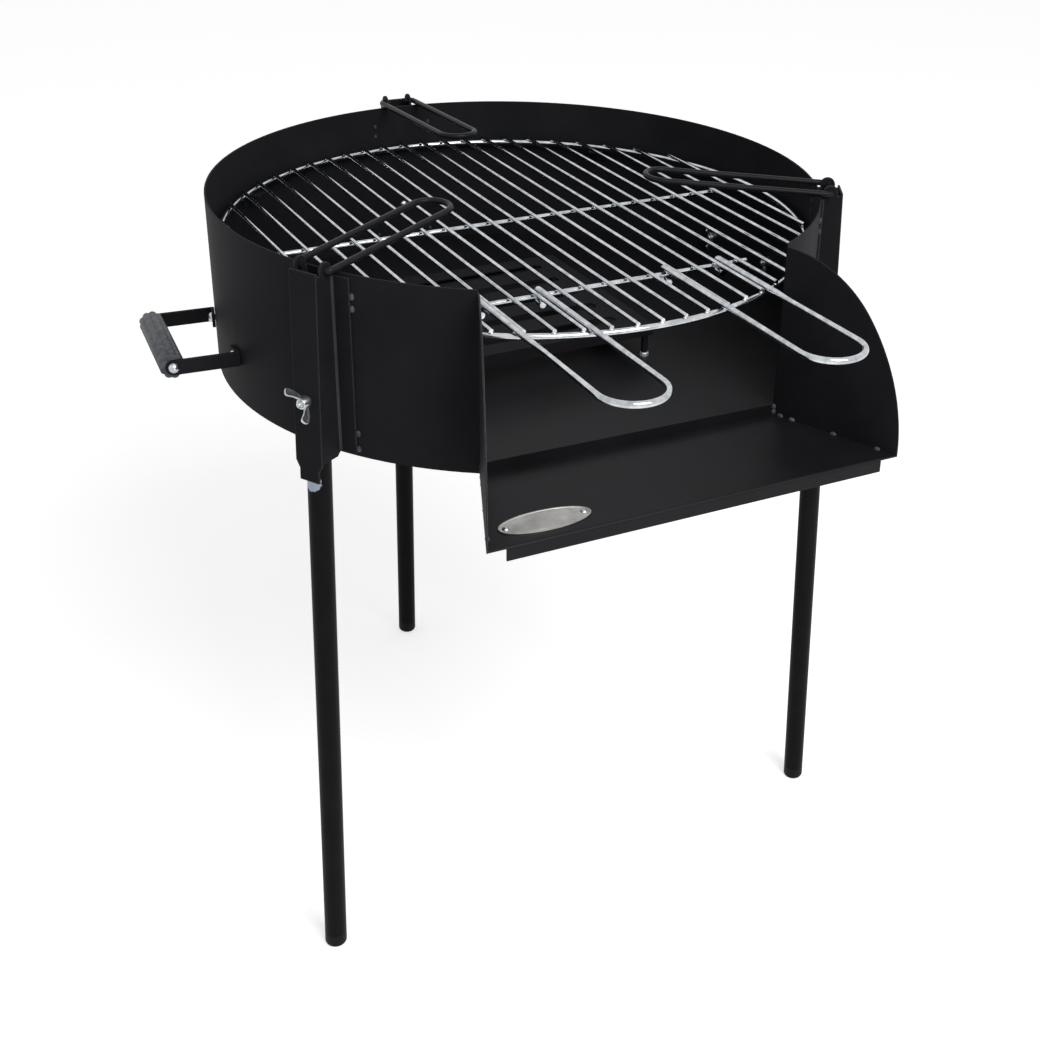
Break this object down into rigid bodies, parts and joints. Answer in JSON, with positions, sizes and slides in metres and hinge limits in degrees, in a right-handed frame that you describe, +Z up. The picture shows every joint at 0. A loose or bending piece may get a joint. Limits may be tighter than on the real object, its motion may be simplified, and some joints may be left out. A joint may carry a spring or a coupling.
{
  "type": "paella grill",
  "caption": "Round steel fire drum on splayed tube legs, open at the front, with a lift-out wire cooking grate and folding wire arms that carry a paella pan.",
  "frame": {"origin": "on the ground, under the centre of the round drum", "axes": "+Z up, -Y out of the drum's open front, +X to the right seen from the front"},
  "size_m": [0.7392, 0.7789, 0.7441],
  "materials": {
    "black_steel": "satin",
    "zinc_wire": "bright zinc-plated",
    "zinc_hardware": "zinc-plated",
    "black_plastic": "moulded",
    "badge_metal": "brushed"
  },
  "bodies": {
    "stand": {"drum_wall": "black_steel", "drum_floor": "black_steel", "left_wing": "black_steel", "right_wing": "black_steel", "front_shelf": "black_steel", "badge_plate": "badge_metal", "badge_rivets": "zinc_hardware", "left_leg_bracket": "black_steel", "right_leg_bracket": "black_steel", "rear_leg_bracket": "black_steel", "left_leg": "black_steel", "right_leg": "black_steel", "rear_leg": "black_steel", "left_foot_cap": "black_plastic", "right_foot_cap": "black_plastic", "rear_foot_cap": "black_plastic", "clamp_bolts": "zinc_hardware", "grate_supports": "black_steel", "left_handle_straps": "black_steel", "right_handle_straps": "black_steel", "left_grip": "black_plastic", "right_grip": "black_plastic", "grip_bolts": "zinc_hardware", "handle_bolts": "zinc_hardware", "handle_wing_nuts": "zinc_hardware", "weld_beads": "black_steel"},
    "left_clamp_nut": {"left_wing_nut": "zinc_hardware"},
    "right_clamp_nut": {"right_wing_nut": "zinc_hardware"},
    "rear_clamp_nut": {"rear_wing_nut": "zinc_hardware"},
    "left_arm": {"left_paella_arm": "black_steel"},
    "right_arm": {"right_paella_arm": "black_steel"},
    "rear_arm": {"rear_paella_arm": "black_steel"},
    "grate": {"grate_ring": "zinc_wire", "grate_bars": "zinc_wire", "grate_cross_bars": "zinc_wire"},
    "left_lift_handle": {"left_grate_handle": "zinc_wire"},
    "right_lift_handle": {"right_grate_handle": "zinc_wire"},
    "fire_plate_body": {"fire_plate": "black_steel", "fire_plate_legs": "black_steel", "fire_plate_glides": "zinc_hardware"}
  },
  "joints": [
    {"name": "left_arm_fold", "type": "hinge", "parent": "stand", "child": "left_arm", "pos_m": [-0.2676, -0.1545, 0.73279], "axis": [0.5, -0.866, 0], "range_deg": [0, 245]},
    {"name": "right_arm_fold", "type": "hinge", "parent": "stand", "child": "right_arm", "pos_m": [0.2676, -0.1545, 0.73279], "axis": [0.5, 0.866, 0], "range_deg": [0, 245]},
    {"name": "rear_arm_fold", "type": "hinge", "parent": "stand", "child": "rear_arm", "pos_m": [0, 0.309, 0.73279], "axis": [-1, 0, 0], "range_deg": [0, 245]},
    {"name": "grate_lift", "type": "slide", "parent": "stand", "child": "grate", "axis": [0, 0, 1], "range_m": [0, 0.03]},
    {"name": "left_handle_fold", "type": "hinge", "parent": "grate", "child": "left_lift_handle", "pos_m": [-0.1003, -0.185, 0.6855], "axis": [-1, 0, 0], "range_deg": [0, 100]},
    {"name": "right_handle_fold", "type": "hinge", "parent": "grate", "child": "right_lift_handle", "pos_m": [0.0909, -0.185, 0.6855], "axis": [-1, 0, 0], "range_deg": [0, 100]},
    {"name": "fire_plate_lift", "type": "slide", "parent": "stand", "child": "fire_plate_body", "axis": [0, 0, 1], "range_m": [0, 0.04]},
    {"name": "left_nut_turn", "type": "hinge", "parent": "stand", "child": "left_clamp_nut", "pos_m": [-0.27064, -0.15625, 0.615], "axis": [-0.8654, -0.4997, 0.0366], "range_deg": [0, 450]},
    {"name": "right_nut_turn", "type": "hinge", "parent": "stand", "child": "right_clamp_nut", "pos_m": [0.27064, -0.15625, 0.615], "axis": [0.8654, -0.4997, 0.0366], "range_deg": [0, 450]},
    {"name": "rear_nut_turn", "type": "hinge", "parent": "stand", "child": "rear_clamp_nut", "pos_m": [0, 0.31251, 0.615], "axis": [0, 0.9993, 0.0366], "range_deg": [0, 450]}
  ]
}
